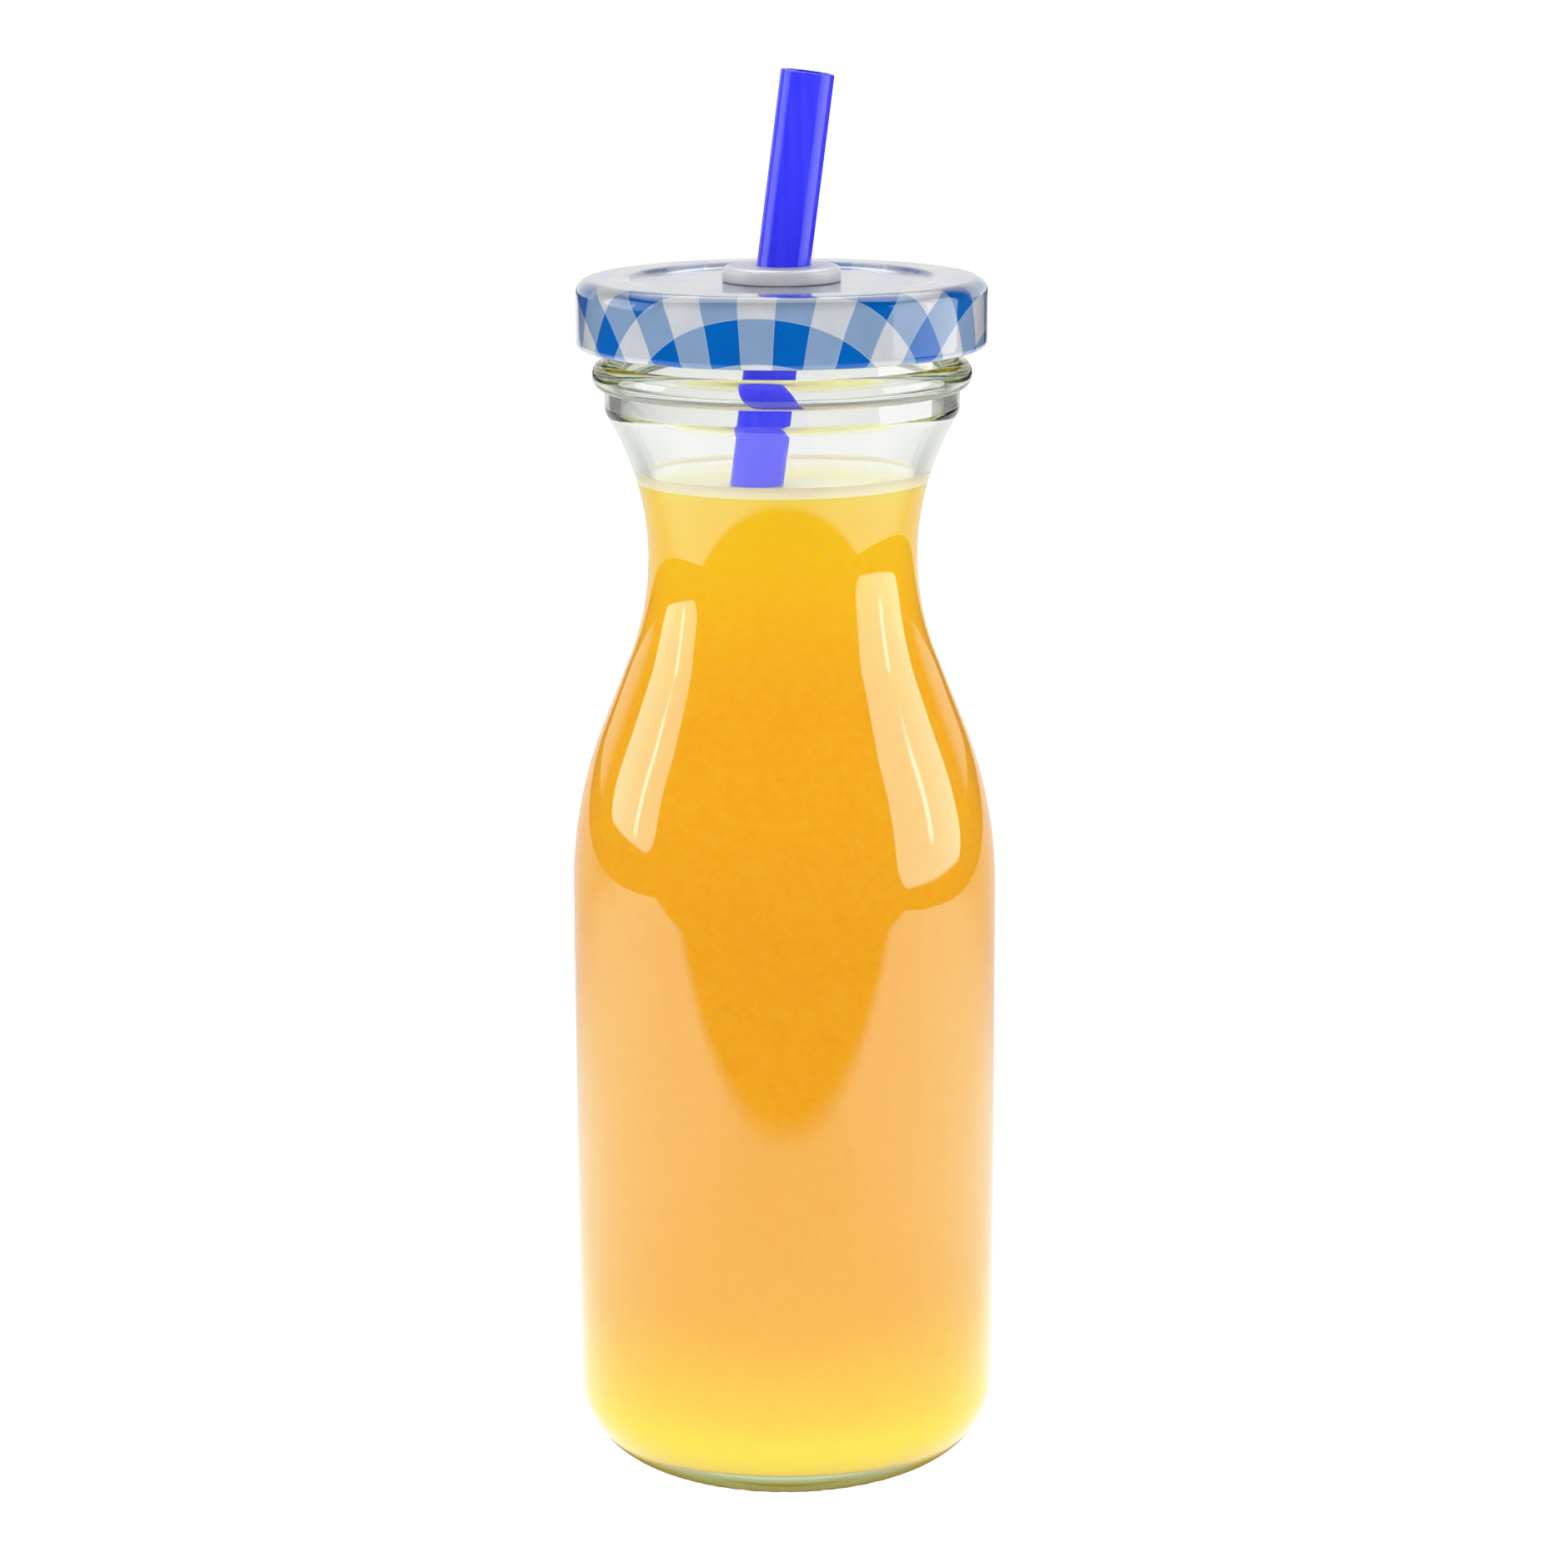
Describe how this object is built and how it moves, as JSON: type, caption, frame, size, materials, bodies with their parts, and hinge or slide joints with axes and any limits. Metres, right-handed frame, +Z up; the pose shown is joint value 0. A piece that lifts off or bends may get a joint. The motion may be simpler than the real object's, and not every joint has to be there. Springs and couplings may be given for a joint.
{
  "type": "filled glass juice carafe",
  "caption": "Waisted clear glass carafe filled with orange juice, closed by a twist-off lid with a blue gingham print, with a leaning straw through a pale grommet.",
  "frame": {"origin": "centre of the bottle's foot ring, on the table", "axes": "+Z up along the bottle's axis; the straw leans toward +X; -Y is the side that faces the picture's camera"},
  "size_m": [0.06, 0.06, 0.1981],
  "materials": {
    "clear_glass": "polished",
    "orange_juice": "cloudy liquid",
    "gingham_tinplate": "glossy print in white and two blues",
    "pale_grommet": "smooth",
    "blue_straw": "glossy"
  },
  "bodies": {
    "root": {"bottle": "clear_glass", "juice": "orange_juice", "lid": "gingham_tinplate", "grommet": "pale_grommet", "straw": "blue_straw"}
  },
  "joints": []
}
